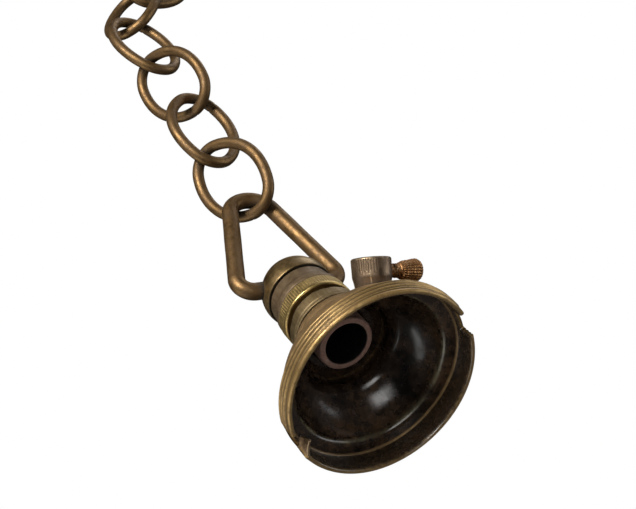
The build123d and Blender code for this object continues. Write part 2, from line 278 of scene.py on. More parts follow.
# ------------------------------------------------------------------ materials
class Graph:
    """A small helper for the node tree of a material or a world."""

    def __init__(self, owner, surface="Principled BSDF"):
        owner.use_nodes = True
        self.owner = owner
        self.tree = owner.node_tree
        self.surface = self.tree.nodes[surface]
        self.coordinates = self.add("ShaderNodeTexCoord")
        scale = self.add("ShaderNodeVectorMath", operation="SCALE")
        scale.inputs["Scale"].default_value = 1 / MM
        self.feed(self.coordinates.outputs["Object"], scale.inputs[0])
        self.place = scale.outputs[0]

    def add(self, kind, **settings):
        """A new node with its settings."""
        node = self.tree.nodes.new(kind)
        for key, value in settings.items():
            setattr(node, key, value)
        return node

    def feed(self, value, socket):
        """Gives a socket a number, an (r, g, b) colour or another socket's output."""
        if isinstance(value, (int, float)):
            socket.default_value = value
        elif isinstance(value, tuple):
            socket.default_value = (*value, 1)
        else:
            self.tree.links.new(value, socket)

    def set(self, **inputs):
        """Feeds the surface's inputs; underscores in a name stand for spaces."""
        for key, value in inputs.items():
            self.feed(value, self.surface.inputs[key.replace("_", " ")])

    def source(self, name):
        """The socket that feeds one of the surface's inputs."""
        return self.surface.inputs[name].links[0].from_socket

    def math(self, operation, *values):
        """The result of one step of arithmetic."""
        node = self.add("ShaderNodeMath", operation=operation)
        for value, socket in zip(values, node.inputs):
            self.feed(value, socket)
        return node.outputs[0]

    def times(self, product, *factors):
        for factor in factors:
            product = self.math("MULTIPLY", product, factor)
        return product

    def plus(self, a, b):
        return self.math("ADD", a, b)

    def minus(self, a, b):
        return self.math("SUBTRACT", a, b)

    def gap(self, a, b):
        """How far two values are apart."""
        return self.math("ABSOLUTE", self.minus(a, b))

    def ramp(self, value, low, high, invert=False, to=(0.0, 1.0)):
        """Maps low..high of a value to a range, and holds it there."""
        node = self.add("ShaderNodeMapRange", clamp=True)
        start, end = reversed(to) if invert else to
        for number, name in ((low, "From Min"), (high, "From Max"), (start, "To Min"), (end, "To Max")):
            node.inputs[name].default_value = number
        self.feed(value, node.inputs["Value"])
        return node.outputs["Result"]

    def mix(self, factor, a, b):
        """Mixes two colours."""
        node = self.add("ShaderNodeMix", data_type="RGBA")
        for value, socket in ((factor, node.inputs["Factor"]), (a, node.inputs[6]), (b, node.inputs[7])):
            self.feed(value, socket)
        return node.outputs[2]

    def tint(self, colour, over, mask, strength):
        """Lays a colour over another where the mask is above 0."""
        return self.mix(self.times(mask, strength), colour, over)

    def noise(self, scale, detail=3.0, roughness=0.55, stretch=None, place=None):
        """Noise with features of about 1/scale millimetres."""
        place = place or self.place
        if stretch:
            mapping = self.add("ShaderNodeMapping")
            mapping.inputs["Scale"].default_value = stretch
            self.feed(place, mapping.inputs["Vector"])
            place = mapping.outputs["Vector"]
        node = self.add("ShaderNodeTexNoise")
        for number, name in ((scale, "Scale"), (detail, "Detail"), (roughness, "Roughness")):
            node.inputs[name].default_value = number
        self.feed(place, node.inputs["Vector"])
        return node.outputs["Fac"]

    def radius_height(self):
        """The distance from the cap's axis and the height above its rim, in millimetres."""
        split = self.add("ShaderNodeSeparateXYZ")
        self.feed(self.place, split.inputs[0])
        squares = [self.times(split.outputs[k], split.outputs[k]) for k in (0, 1)]
        return self.math("SQRT", self.plus(*squares)), split.outputs[2]

    def turned_place(self):
        """Coordinates that depend on radius and height alone, for lines cut on a lathe."""
        join = self.add("ShaderNodeCombineXYZ")
        for value, socket in zip(self.radius_height(), join.inputs):
            self.feed(value, socket)
        return join.outputs[0]

    def edges(self):
        """1 on raised edges, from the mesh's pointiness."""
        return self.ramp(self.add("ShaderNodeNewGeometry").outputs["Pointiness"], 0.51, 0.56)

    def crevices(self, distance):
        """1 in corners and gaps narrower than a distance in millimetres."""
        node = self.add("ShaderNodeAmbientOcclusion", samples=8)
        node.inputs["Distance"].default_value = distance * MM
        return self.ramp(node.outputs["AO"], 0.35, 0.9, invert=True)

    def bump(self, height, depth, normal=None):
        """Adds a bump of a depth in millimetres."""
        node = self.add("ShaderNodeBump")
        node.inputs["Strength"].default_value = 1.0
        node.inputs["Distance"].default_value = depth * MM
        self.feed(height, node.inputs["Height"])
        if normal is not None:
            self.feed(normal, node.inputs["Normal"])
        return node.outputs["Normal"]

    def smoother(self, factor, normal):
        """Brings a bumped normal back towards the plain surface's where factor is above 0."""
        node = self.add("ShaderNodeMix", data_type="VECTOR")
        plain = self.add("ShaderNodeNewGeometry").outputs["Normal"]
        for value, socket in ((factor, node.inputs[0]), (normal, node.inputs[4]), (plain, node.inputs[5])):
            self.feed(value, socket)
        return node.outputs[1]


def aged_metal(name, dark, base, bright, rough=0.34, turned=0.0, grime_and_shade=0.85, wear=0.6, reach=1.6, oxide=0.35):
    """Brass or bronze under an aged finish.

    Patches of a dark and a base tone, bright worn edges, and near-black painted shade and soiling in corners, from
    ambient occlusion. reach is how far the painted shade and soiling come out of a corner, turned the depth of
    lathe lines, both in millimetres.
    oxide is how far the patches lose their metal look.
    """
    graph = Graph(bpy.data.materials.new(name))
    patches = graph.ramp(graph.noise(0.35, detail=4.0), 0.36, 0.62)
    specks = graph.ramp(graph.noise(2.4, detail=6.0, roughness=0.7), 0.50, 0.70)
    stain = graph.times(graph.minus(1.0, patches), graph.plus(specks, 0.55))
    colour = graph.tint(graph.mix(stain, base, dark), dark, specks, 0.40)
    worn = graph.times(graph.edges(), graph.ramp(graph.noise(0.9, detail=4.0), 0.35, 0.62))
    colour = graph.tint(colour, bright, worn, wear)
    # painted shade and soiling: ambient occlusion marks corners and gaps for darkening
    corners = graph.times(graph.crevices(reach), grime_and_shade)
    normal = graph.bump(graph.noise(3.0, detail=4.0), 0.014)
    normal = graph.bump(graph.noise(14.0, detail=2.0), 0.004, normal)
    if turned:
        lines = graph.noise(6.0, detail=3.0, roughness=0.75, place=graph.turned_place())
        normal = graph.bump(lines, turned, normal)
    uneven = graph.ramp(graph.noise(1.3, detail=5.0), 0.3, 0.7, to=(rough - 0.08, rough + 0.12))
    dull = graph.plus(graph.times(corners, 0.5), graph.times(stain, oxide))
    # the corners get painted shade and soiling: near-black colour, less metal, rougher
    graph.set(
        Base_Color=graph.mix(corners, colour, tuple(c * 0.10 for c in dark)),
        Metallic=graph.minus(1.0, dull),
        Roughness=graph.plus(uneven, graph.times(dull, 0.25)),
        Normal=normal,
    )
    return graph


def inside_shell(graph, radius, height):
    """1 inside the cap's wall and 0 outside it, parted by the wall's middle line."""
    scale = 20.0
    middle = graph.add("ShaderNodeFloatCurve")
    graph.feed(graph.math("DIVIDE", height, CAP_TOP), middle.inputs["Value"])
    curve = middle.mapping.curves[0]
    points = [(z / CAP_TOP, r / scale) for z, r in WALL_MIDDLE]
    curve.points[0].location, curve.points[1].location = points[0], points[-1]
    for point in points[1:-1]:
        curve.points.new(*point)
    for point in curve.points:
        point.handle_type = "VECTOR"
    middle.mapping.update()
    return graph.ramp(graph.minus(graph.times(middle.outputs[0], scale), radius), -0.12, 0.12)


def cap_outside(graph, radius, height):
    """The colour outside: browner up the dome, and darker along the thread's root."""
    dome = graph.ramp(graph.plus(height, graph.times(graph.noise(0.8), 1.5)), 4.0, 6.0)
    colour = graph.tint(graph.source("Base Color"), (0.27, 0.175, 0.090), dome, 0.7)
    root = graph.times(
        graph.ramp(radius, THREAD_ROOT + 0.03, THREAD_ROOT + 0.17, invert=True),
        graph.ramp(radius, THREAD_ROOT - 0.2, THREAD_ROOT - 0.1),
        graph.ramp(height, THREAD_LOW - 0.1, THREAD_LOW + 0.1),
    )
    return graph.tint(colour, (0.050, 0.032, 0.014), root, 0.75)


def cap_lacquer(graph, radius, height):
    """The black lacquer inside: brown where it has worn thin, paler where rubbed near its rim, and painted
    highlights as pale lines along its steps.
    """
    thin = graph.times(graph.noise(0.13, detail=2.0), graph.noise(0.8, detail=4.0))
    colour = graph.mix(graph.ramp(thin, 0.14, 0.46), (0.0040, 0.0031, 0.0026), (0.046, 0.026, 0.014))
    skirt = graph.ramp(height, LEDGE_HEIGHT - 0.4, LEDGE_HEIGHT, invert=True)
    colour = graph.tint(colour, (0.030, 0.020, 0.012), skirt, 0.6)
    # painted highlight: a pale line along the corner between the bell and its ledge
    step = graph.ramp(graph.gap(radius, STEP_RADIUS), 0.05, 0.30, invert=True)
    step = graph.times(step, graph.ramp(graph.noise(0.35, detail=4.0), 0.35, 0.65))
    colour = graph.tint(colour, (0.120, 0.110, 0.065), step, 0.7)
    rubbed = graph.plus(height, graph.times(graph.noise(1.1), 1.2))
    colour = graph.tint(colour, (0.15, 0.10, 0.045), graph.ramp(rubbed, 0.65, 1.15, invert=True), 0.6)
    # painted highlight: a pale line along the ledge's edge, where the skirt's bore meets the bell
    ledge = graph.times(
        graph.ramp(graph.gap(height, LEDGE_HEIGHT), 0.04, 0.12, invert=True),
        graph.ramp(radius, SKIRT_INSIDE - 0.19, SKIRT_INSIDE - 0.11),
        graph.ramp(graph.noise(0.7), 0.30, 0.65),
    )
    return graph.tint(colour, (0.15, 0.10, 0.06), ledge, 0.8)


def cap_material():
    """The spun cap: olive-gold thread band, brown dome, and a glossy black-brown inside."""
    graph = aged_metal(
        "cap_brass", (0.120, 0.072, 0.027), (0.320, 0.208, 0.080), (0.50, 0.36, 0.16),
        rough=0.38, turned=0.012, wear=0.35, reach=0.7,
    )
    radius, height = graph.radius_height()
    inside = inside_shell(graph, radius, height)
    outside = graph.minus(1.0, inside)
    sheen = graph.ramp(graph.noise(0.6, detail=5.0), 0.3, 0.7, to=(0.16, 0.32))
    rough = graph.plus(graph.times(graph.source("Roughness"), outside), graph.times(sheen, inside))
    graph.set(
        Base_Color=graph.mix(inside, cap_outside(graph, radius, height), cap_lacquer(graph, radius, height)),
        Metallic=graph.times(graph.source("Metallic"), 0.8, outside),
        Roughness=rough,
        Normal=graph.smoother(graph.times(inside, 0.85), graph.source("Normal")),
    )
    return graph.owner


def burr_material():
    """Bare worn brass, brown with painted shade and soiling in the creases."""
    return aged_metal(
        "burr_brass", (0.160, 0.096, 0.052), (0.340, 0.225, 0.130), (0.55, 0.42, 0.25),
        rough=0.46, reach=0.6, wear=0.8, oxide=0.8,
    ).owner


def nipple_material():
    """Dull pinkish brass, near-black with painted shade inside its bore."""
    graph = aged_metal(
        "nipple_brass", (0.24, 0.135, 0.105), (0.42, 0.265, 0.215), (0.52, 0.38, 0.30),
        rough=0.50, grime_and_shade=0.5, oxide=0.8,
    )
    radius, _ = graph.radius_height()
    # painted shade: the bore's wall is near-black, less metal and rougher
    bore_shade = graph.ramp(radius, NIPPLE_BORE + 0.02, NIPPLE_BORE + 0.2, invert=True)
    pits = graph.ramp(graph.noise(5.0, detail=5.0, roughness=0.75), 0.5, 0.62)
    colour = graph.tint(graph.source("Base Color"), (0.07, 0.035, 0.028), pits, 0.55)
    metal = graph.times(graph.source("Metallic"), graph.minus(0.6, graph.times(bore_shade, 0.4)))
    graph.set(
        Base_Color=graph.mix(bore_shade, colour, (0.006, 0.005, 0.005)),
        Metallic=metal,
        Roughness=graph.plus(graph.source("Roughness"), graph.times(bore_shade, 0.4)),
        Normal=graph.bump(pits, 0.03, graph.source("Normal")),
    )
    return graph.owner


def bush_material():
    """Dull olive-brown brass with faint streaks along the axis."""
    graph = aged_metal(
        "bush_brass", (0.095, 0.064, 0.030), (0.175, 0.125, 0.060), (0.38, 0.29, 0.15),
        rough=0.50, turned=0.01,
    )
    streaks = graph.ramp(graph.noise(2.2, detail=5.0, stretch=(1, 1, 0.10)), 0.42, 0.72)
    graph.set(Base_Color=graph.tint(graph.source("Base Color"), (0.26, 0.20, 0.11), streaks, 0.55))
    return graph.owner


def ring_material():
    """Bright brass: darker in the milled grooves, and the plain edge below is brown at its foot, a painted shade
    where it meets the bush.
    """
    graph = aged_metal(
        "ring_brass", (0.26, 0.175, 0.062), (0.48, 0.345, 0.125), (0.80, 0.64, 0.32),
        rough=0.36, wear=0.7, reach=0.5, oxide=0.15,
    )
    radius, height = graph.radius_height()
    low, outer = heights_of("lock_ring")[0], radius_of("lock_ring")
    milled = graph.ramp(height, low + 0.72, low + 0.85)
    # darker in the milled grooves
    groove_dark = graph.times(graph.ramp(radius, outer - 0.10, outer - 0.02, invert=True), milled)
    # painted shade: the foot of the plain edge is darkened brown where the ring meets the bush
    foot = graph.ramp(height, low + 0.10, low + 0.24, invert=True)
    colour = graph.tint(graph.source("Base Color"), (0.30, 0.215, 0.100), milled, 0.5)
    colour = graph.tint(colour, (0.075, 0.040, 0.014), foot, 0.85)
    graph.set(
        Base_Color=graph.tint(colour, (0.035, 0.024, 0.010), groove_dark, 0.8),
        Roughness=graph.plus(graph.source("Roughness"), graph.times(milled, 0.10)),
    )
    return graph.owner


def hub_material():
    """A glossy gold-bronze ball over a dull brown-grey waist and base, with painted shade, black, in the groove
    between.
    """
    graph = aged_metal(
        "hub_bronze", (0.110, 0.070, 0.033), (0.250, 0.170, 0.072), (0.40, 0.29, 0.14),
        rough=0.36, turned=0.008, reach=2.0,
    )
    _, height = graph.radius_height()
    waist = graph.ramp(height, HUB_GROOVE - 0.12, HUB_GROOVE + 0.06, invert=True)
    streaks = graph.ramp(graph.noise(1.0, detail=5.0, stretch=(1, 1, 0.25)), 0.35, 0.65)
    dull = graph.mix(streaks, (0.062, 0.040, 0.025), (0.118, 0.082, 0.050))
    # painted shade: black along the groove under the ball
    line = graph.ramp(graph.gap(height, HUB_GROOVE + 0.05), 0.13, 0.24, invert=True)
    colour = graph.tint(graph.source("Base Color"), dull, waist, 0.8)
    graph.set(
        Base_Color=graph.tint(colour, (0.012, 0.009, 0.006), line, 0.85),
        Metallic=graph.minus(graph.source("Metallic"), graph.times(waist, 0.25)),
        Roughness=graph.plus(graph.source("Roughness"), graph.times(waist, 0.16)),
    )
    return graph.owner


def wire_metal(name):
    """Satin bronze wire, black with painted shade and soiling where it rubs in the next piece."""
    # reach sets how far the painted shade and soiling come out where wires meet
    return aged_metal(
        name, (0.085, 0.050, 0.024), (0.180, 0.108, 0.046), (0.34, 0.23, 0.105),
        rough=0.48, wear=0.3, reach=2.6,
    )


def bail_material():
    """The chain wire's finish, black with painted shade and soiling where each end enters the hub."""
    graph = wire_metal("bail_bronze")
    # painted shade and soiling: darker close to the hub's pivot, where each end enters the hub
    away = graph.add("ShaderNodeVectorMath", operation="DISTANCE")
    graph.feed(graph.place, away.inputs[0])
    away.inputs[1].default_value = Vector(JOINTS["hub_tilt"]["pos_m"]) / MM
    uneven = graph.plus(away.outputs["Value"], graph.times(graph.noise(1.2, detail=4.0), 2.0))
    grime_and_shade = graph.ramp(uneven, 7.6, 9.2, invert=True)
    graph.set(
        Base_Color=graph.tint(graph.source("Base Color"), (0.012, 0.009, 0.007), grime_and_shade, 0.85),
        Metallic=graph.minus(graph.source("Metallic"), graph.times(grime_and_shade, 0.6)),
    )
    return graph.owner


def pillar_material():
    """Grey-brown brass."""
    return aged_metal(
        "pillar_brass", (0.085, 0.057, 0.036), (0.185, 0.130, 0.084), (0.50, 0.40, 0.25),
        rough=0.42, reach=0.8,
    ).owner


def screw_material():
    """Copper-brown, rough in the knurl."""
    return aged_metal(
        "screw_copper", (0.160, 0.072, 0.026), (0.330, 0.165, 0.064), (0.55, 0.34, 0.17),
        rough=0.42, reach=0.4, wear=0.8,
    ).owner


# ------------------------------------------------------------------ cap shell
def thread(radius, height, angle, root, crest, pitch, low, high, begins):
    """Raises a rounded right-hand thread on the part of an outline outside the radius begins."""
    phase = (height / pitch - angle / math.tau) % 1.0
    tooth = (0.5 - 0.5 * np.cos(math.tau * phase)) ** 0.75
    fade = smooth_step(height, low, low + pitch * 0.4) * (1 - smooth_step(height, high - pitch * 0.5, high))
    wanted = root + (crest - root) * tooth * fade
    return np.where((radius > begins) & (height > low) & (height < high), wanted, radius)


def cap_outline():
    """The shell's section: round the lip, up the thread and the bell, and back down inside."""
    lip_radius = THREAD_ROOT + 0.12
    lip = [(SKIRT_INSIDE, 0.7), (16.0, 0.12), (16.25, 0.0), (16.55, 0.08), (lip_radius, 0.4)]
    band = [lip[-1], (lip_radius, 0.7), (THREAD_ROOT, THREAD_LOW), (THREAD_ROOT, THREAD_HIGH)]
    high, low = LEDGE_HEIGHT + 0.1, LEDGE_HEIGHT - 0.1
    ledge = [(14.5, LEDGE_HEIGHT + 0.25), (SKIRT_INSIDE - 0.25, high), (SKIRT_INSIDE, low)]
    return closed_outline(
        [
            sample(lip, 0.09),
            sample(band, 0.07),
            sample([band[-1], OUTER_CURVES[0][0]], 0.12),
            *[sample(arc(*curve), 0.2) for curve in OUTER_CURVES],
            sample([OUTER_CURVES[-1][-1], (NIPPLE_RADIUS, CAP_TOP)], 0.2),
            sample([(NIPPLE_RADIUS, CAP_TOP), (NIPPLE_RADIUS, THROAT_HEIGHT)], 0.3),
            sample([(NIPPLE_RADIUS, THROAT_HEIGHT), INNER_CURVES[0][0]], 0.2),
            *[sample(arc(*curve), 0.2) for curve in INNER_CURVES],
            sample(arc(INNER_CURVES[-1][-1], (13.65, 4.55), ledge[0]), 0.12),
            sample(ledge, 0.07),
            sample([ledge[-1], lip[0]], 0.15),
        ],
        passes=3,
    )


def make_cap():
    """The shell, its thread worn low beside the notches, and slightly out of round."""

    def shape(radius, height, angle):
        from_notch = np.abs((angle - math.radians(NOTCH_AZIMUTH) + math.pi / 2) % math.pi - math.pi / 2)
        worn = 0.2 * (1 - smooth_step(np.degrees(from_notch), 9.0, 14.0))
        ridge = (THREAD_ROOT, THREAD_CREST - worn, THREAD_PITCH, THREAD_LOW, THREAD_HIGH)
        radius = thread(radius, height, angle, *ridge, begins=THREAD_ROOT - 0.08)
        waver = 0.03 * np.sin(2 * angle + 0.6) + 0.02 * np.sin(5 * angle + height * 0.4)
        return radius + waver * smooth_step(radius, 8.0, 12.0)

    cap = lathe("cap_shell_spun", cap_outline(), 512, shape)
    cutters = []
    for k, lean in enumerate((-3.5, 2.5)):
        turn = Matrix.Rotation(math.radians(NOTCH_AZIMUTH + 180 * k), 4, "Z")
        place = turn @ Matrix.Translation((NOTCH_RADIUS, 0, 0)) @ Matrix.Rotation(math.radians(lean), 4, "X")
        cutters.append(block(f"notch_{k}", NOTCH_SIDES, place))
    cut(cap, cutters)
    finish_piece(cap, "cap_shell", "cap", cap_material())


def make_burr():
    """A tab of the skirt's wall at one side of a notch, bent inwards about its upright edge."""
    azimuth = math.radians(NOTCH_AZIMUTH + 180) - math.asin(NOTCH_SIDES[1] / 2 / NOTCH_RADIUS) - 0.02
    outward, onward = (np.array([math.cos(azimuth + t), math.sin(azimuth + t), 0]) for t in (0, math.pi / 2))
    out, rise = np.meshgrid(np.linspace(0, 1, 18), np.linspace(0, 1, 24), indexing="ij")
    out, rise = out[..., None], rise[..., None]
    reach = 2.45 - 0.85 * rise
    inward = (2.10 - 1.0 * rise) * out**1.5
    height = 0.15 + 3.2 * rise + 0.15 * out * np.sin(5 * rise)
    ripple = 0.10 * out * np.sin(4.0 * rise + 1.5 * out) + 0.06 * out * np.sin(9.0 * rise)
    thick = (0.20 - 0.06 * out) * (1 + 0.15 * np.sin(6 * rise + 3 * out))
    middle = (16.2 - inward) * outward + reach * out * onward + [0, 0, 1] * height
    across = outward * 0.75 + onward * 0.66
    sheets = [middle + across * (ripple + side * thick) for side in (-1, 1)]
    # once round the tab for every row, so that it is one closed skin
    rounds = np.concatenate([sheets[0], sheets[1][:, ::-1]], axis=1)
    rows, columns = rounds.shape[:2]
    ends = [tuple(range(columns))[::-1], tuple(range((rows - 1) * columns, rows * columns))]
    faces = grid_faces(rows, columns, close_rows=False) + ends
    burr = make_piece("cap_notch_burr", rounds.reshape(-1, 3), faces)
    finish_piece(burr, "cap_shell", "cap", burr_material())


# ------------------------------------------------------------------ parts on the cap's axis
def make_nipple():
    """The lamp tube with its thread all along."""
    low, high = heights_of("nipple")
    root, crest = NIPPLE_RADIUS - 0.32, NIPPLE_RADIUS - 0.02
    outline = closed_outline(
        [
            sample([(NIPPLE_BORE, low), (root, low), (crest, low + 0.3)], 0.08),
            sample([(crest, low + 0.3), (crest, high - 0.3)], 0.1),
            sample([(crest, high - 0.3), (root, high), (NIPPLE_BORE, high)], 0.1),
            sample([(NIPPLE_BORE, high), (NIPPLE_BORE, low)], 0.4),
        ],
        passes=2,
    )

    def shape(radius, height, angle):
        return thread(radius, height, angle, root, crest, 1.0, low + 0.3, high - 0.3, root + 0.05)

    finish_piece(lathe("nipple_tube", outline, 160, shape), "nipple", "cap", nipple_material())


def make_bush():
    """The stepped collar: a foot on the cap, a collar, and a thin neck under the lock ring."""
    low, high = heights_of("entry_bush")
    foot = radius_of("entry_bush")
    collar, collar_top, neck = 6.85, 20.6, 5.85
    bore = NIPPLE_RADIUS + 0.02
    outline = closed_outline(
        [
            sample([(bore, low), (foot - 0.1, low), (foot, low + 0.1), (foot, low + 0.6)], 0.08),
            sample([(foot, low + 0.6), (collar - 0.1, low + 0.75), (collar - 0.25, low + 0.95)], 0.08),
            sample([(collar - 0.25, low + 0.95), (collar, low + 1.3), (collar, collar_top - 0.3)], 0.08),
            sample([(collar, collar_top - 0.3), (collar - 0.3, collar_top)], 0.08),
            sample([(collar - 0.3, collar_top), (neck, collar_top), (neck, high), (bore, high)], 0.1),
            sample([(bore, high), (bore, low)], 0.3),
        ],
        passes=2,
    )
    finish_piece(lathe("entry_bush_turned", outline, 200), "entry_bush", "cap", bush_material())


def make_lock_ring():
    """The ring, milled round its side above a plain polished edge."""
    low, high = heights_of("lock_ring")
    outer = radius_of("lock_ring")
    chamfer = 0.3
    outline = closed_outline(
        [
            sample([(TURNING_BORE, low), (outer - chamfer, low), (outer, low + chamfer)], 0.07),
            sample([(outer, low + chamfer), (outer, high - chamfer)], 0.1),
            sample([(outer, high - chamfer), (outer - chamfer, high), (TURNING_BORE, high)], 0.07),
            sample([(TURNING_BORE, high), (TURNING_BORE, low)], 0.3),
        ],
        passes=2,
    )

    def shape(radius, height, angle):
        groove = (0.5 - 0.5 * np.cos(MILLING_TEETH * angle)) ** 2.5
        groove = groove * (0.7 + 0.3 * np.sin(7 * angle + 1.0) * np.sin(11 * angle))
        band = smooth_step(height, low + 0.75, low + 0.85)
        band = band * (1 - smooth_step(height, high - 0.42, high - 0.3))
        return radius - MILLING_DEPTH * groove * band * smooth_step(radius, outer - 0.25, outer - 0.1)

    ring = lathe("lock_ring_milled", outline, MILLING_TEETH * 10, shape)
    finish_piece(ring, "lock_ring", "lock_ring", ring_material())


def hub_outline():
    """The hub's section: a flared base, a waist, a fine groove, and a ball with the flex hole in its top."""
    low = heights_of("hub")[0]
    base, waist, groove = radius_of("hub"), 6.05, 5.45
    ball, ball_z = 6.5, 31.5
    foot_z = HUB_GROOVE + 0.16
    ball_foot = math.sqrt(ball**2 - (ball_z - foot_z) ** 2)
    flex = MOUNTS["flex_outlet"]["dims"]["r_mm"]
    top = ball_z + math.sqrt(ball**2 - flex**2)
    step_z = top - MOUNTS["flex_outlet"]["dims"]["length_mm"]
    below, above = HUB_GROOVE - 0.1, HUB_GROOVE + 0.1
    return closed_outline(
        [
            sample([(TURNING_BORE, low), (base - 0.2, low), (base, low + 0.2), (base, low + 1.2)], 0.1),
            sample(arc((base, low + 1.2), (base - 0.37, low + 1.75), (waist, low + 2.6)), 0.12),
            sample([(waist, low + 2.6), (waist, HUB_GROOVE - 0.24), (waist - 0.1, HUB_GROOVE - 0.12)], 0.06),
            sample([(waist - 0.1, HUB_GROOVE - 0.12), (groove, below), (groove, above)], 0.06),
            sample([(groove, above), (ball_foot - 0.05, HUB_GROOVE + 0.12), (ball_foot, foot_z)], 0.06),
            sample(arc((ball_foot, foot_z), (ball, ball_z), (flex, top), 60), 0.15),
            sample([(flex, top), (flex, step_z), (TURNING_BORE, step_z), (TURNING_BORE, low)], 0.25),
        ],
        passes=2,
    )


def make_hub():
    """The hub, with a blind hole on each side for an end of the bail."""
    pivot = Vector(JOINTS["hub_tilt"]["pos_m"]) / MM
    pivot_axis = Vector(JOINTS["hub_tilt"]["axis"])
    hole, mouth, bottom = 1.66, 1.9, 2.8
    section = closed_outline(
        [sample([(0.01, bottom), (hole, bottom), (hole, 6.4), (mouth, 8), (0.01, 8)], 0.2)], passes=0
    )
    hub = lathe("hub_turned", hub_outline(), 256)
    cutters = []
    for side in (1, -1):
        place = axis_matrix(pivot, pivot_axis * side, (0, 0, 1))
        cutters.append(lathe(f"socket_{side}", section, 48, place=place))
    cut(hub, cutters)
    finish_piece(hub, "hub", "hub", hub_material())


# ------------------------------------------------------------------ clamp pillar and screw
def screw_box():
    """The clamp screw's lowest and highest corners, in millimetres. It lies along x."""
    return [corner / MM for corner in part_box("clamp_screw")]


def screw_way():
    """A cutter for the screw's way through the pillar, wider where the screw's neck enters it."""
    low, high = screw_box()
    way, neck_way = 1.12, 1.3
    section = [(0.01, 0), (way, 0), (way, 2.2), (neck_way, 2.3), (neck_way, 5), (0.01, 5)]
    place = axis_matrix((0, (low.y + high.y) / 2, (low.z + high.z) / 2), (1, 0, 0), (0, 0, 1))
    return lathe("screw_way", closed_outline([sample(section, 0.2)], passes=0), 48, place=place)


def make_pillar():
    """The pillar: a slim body under a fluted head with the wire hole in its face."""
    mount = MOUNTS["wire_hole"]
    axis = Vector(mount["axis"])
    bottom, top = span("clamp_pillar", axis)
    centre = Vector(mount["pos_m"]) / MM
    centre += axis * (top - axis.dot(centre))
    foot = bottom - top
    hole, depth = mount["dims"]["r_mm"], mount["dims"]["length_mm"]
    body, head, under_head = 2.85, 3.25, -3.1
    taper = [(body, under_head - 2.2), (body + 0.14, under_head - 0.9), (head - 0.04, under_head)]
    outline = closed_outline(
        [
            sample([(0.01, foot), (body + 0.3, foot), (body, foot + 0.5)], 0.1),
            sample([(body, foot + 0.5), taper[0]], 0.12),
            sample(arc(*taper), 0.12),
            sample([taper[-1], (head, -0.2), (head - 0.2, 0), (hole + 0.15, 0)], 0.1),
            sample([(hole + 0.15, 0), (hole, -0.15), (hole, -depth), (0.01, -depth - 0.6)], 0.15),
        ],
        passes=2,
    )

    def shape(radius, height, angle):
        flutes = (0.5 - 0.5 * np.cos(46 * angle)) ** 2
        uneven = smooth_step(-np.cos(angle), -0.3, 0.6) * (0.6 + 0.4 * np.sin(5 * angle + 1.0))
        band = smooth_step(height, under_head + 0.1, under_head + 1.2) * (1 - smooth_step(height, -0.5, -0.3))
        return radius - 0.07 * flutes * uneven * band * smooth_step(radius, head - 0.3, head - 0.1)

    pillar = lathe("clamp_pillar_turned", outline, 460, shape, axis_matrix(centre, axis))
    cut(pillar, [screw_way()])
    finish_piece(pillar, "clamp_pillar", "cap", pillar_material())


def make_screw():
    """The screw: a shank, a short threaded neck, and a long knurled head that widens to its end."""
    low, high = screw_box()
    length = high.x - low.x
    end = (high.z - low.z) / 2
    head, shank, neck = 1.7, 1.03, 1.2
    hidden = length - 5.4               # how much of it lies in the pillar
    flare = [(neck, hidden + 1.2), (1.5, hidden + 1.75), (head, hidden + 2.9)]
    crown = [(end, length - 1.1), (end - 0.25, length - 0.35), (end - 1.0, length)]
    outline = closed_outline(
        [
            sample([(0.01, 0), (shank - 0.23, 0), (shank, 0.25), (shank, hidden)], 0.06),
            sample([(shank, hidden), (neck, hidden + 0.2), flare[0]], 0.06),
            sample(arc(*flare), 0.06),
            sample([flare[-1], crown[0]], 0.07),
            sample(arc(*crown), 0.08),
            sample([crown[-1], (0.01, length)], 0.1),
        ],
        passes=2,
    )

    def shape(radius, height, angle):
        ridge = (neck - 0.20, neck, 0.5, hidden + 0.1, hidden + 2.2)
        threaded = thread(radius, height, angle, *ridge, begins=neck - 0.1)
        radius = np.where((height >= hidden + 0.1) & (height < hidden + 1.3), threaded, radius)
        coarse = math.tau * height / 0.62
        slant = 0.9 * np.sin(coarse) + 0.5 * np.sin(3 * angle + 1.3 * height)
        grooves = (0.5 - 0.5 * np.cos(24 * angle + slant)) ** 1.2
        rings = (0.5 - 0.5 * np.cos(coarse + 2 * np.sin(2 * angle))) ** 2
        band = smooth_step(height, hidden + 1.25, hidden + 1.6)
        return radius - (0.15 * grooves + 0.06 * rings) * band * smooth_step(radius, 1.1, 1.5)

    place = axis_matrix((low.x, (low.y + high.y) / 2, (low.z + high.z) / 2), (1, 0, 0), (0, 0, 1))
    screw = lathe("clamp_screw_knurled", outline, 312, shape, place)
    finish_piece(screw, "clamp_screw", "clamp_screw", screw_material())


# ------------------------------------------------------------------ bail
def bail_line(height):
    """The bail's middle line from one end to the other: (x, y) about its pivot, the crown up at a height."""
    crown_radius, corner_radius, lean, end = 4.6, 2.6, math.radians(17.0), 3.0
    rise = height - crown_radius * (1 - math.sin(lean)) - corner_radius * (1 + math.sin(lean))
    crown = np.array([0, height - crown_radius])
    half = [crown + crown_radius * direction(turn) for turn in np.linspace(math.pi / 2, math.pi - lean, 30)]
    leg_end = half[-1] - np.array([math.sin(lean), math.cos(lean)]) * rise / math.cos(lean)
    half.extend(sample([half[-1], leg_end], 0.35)[1:])
    corner = leg_end + np.array([math.cos(lean), -math.sin(lean)]) * corner_radius
    bend = np.linspace(math.pi - lean, math.pi * 1.5, 30)[1:]
    half.extend(corner + corner_radius * direction(turn) for turn in bend)
    half.extend(sample([half[-1], (-end, half[-1][1])], 0.3)[1:])
    half = np.array(half)
    return np.concatenate([half[::-1], (half * [-1, 1])[1:]])


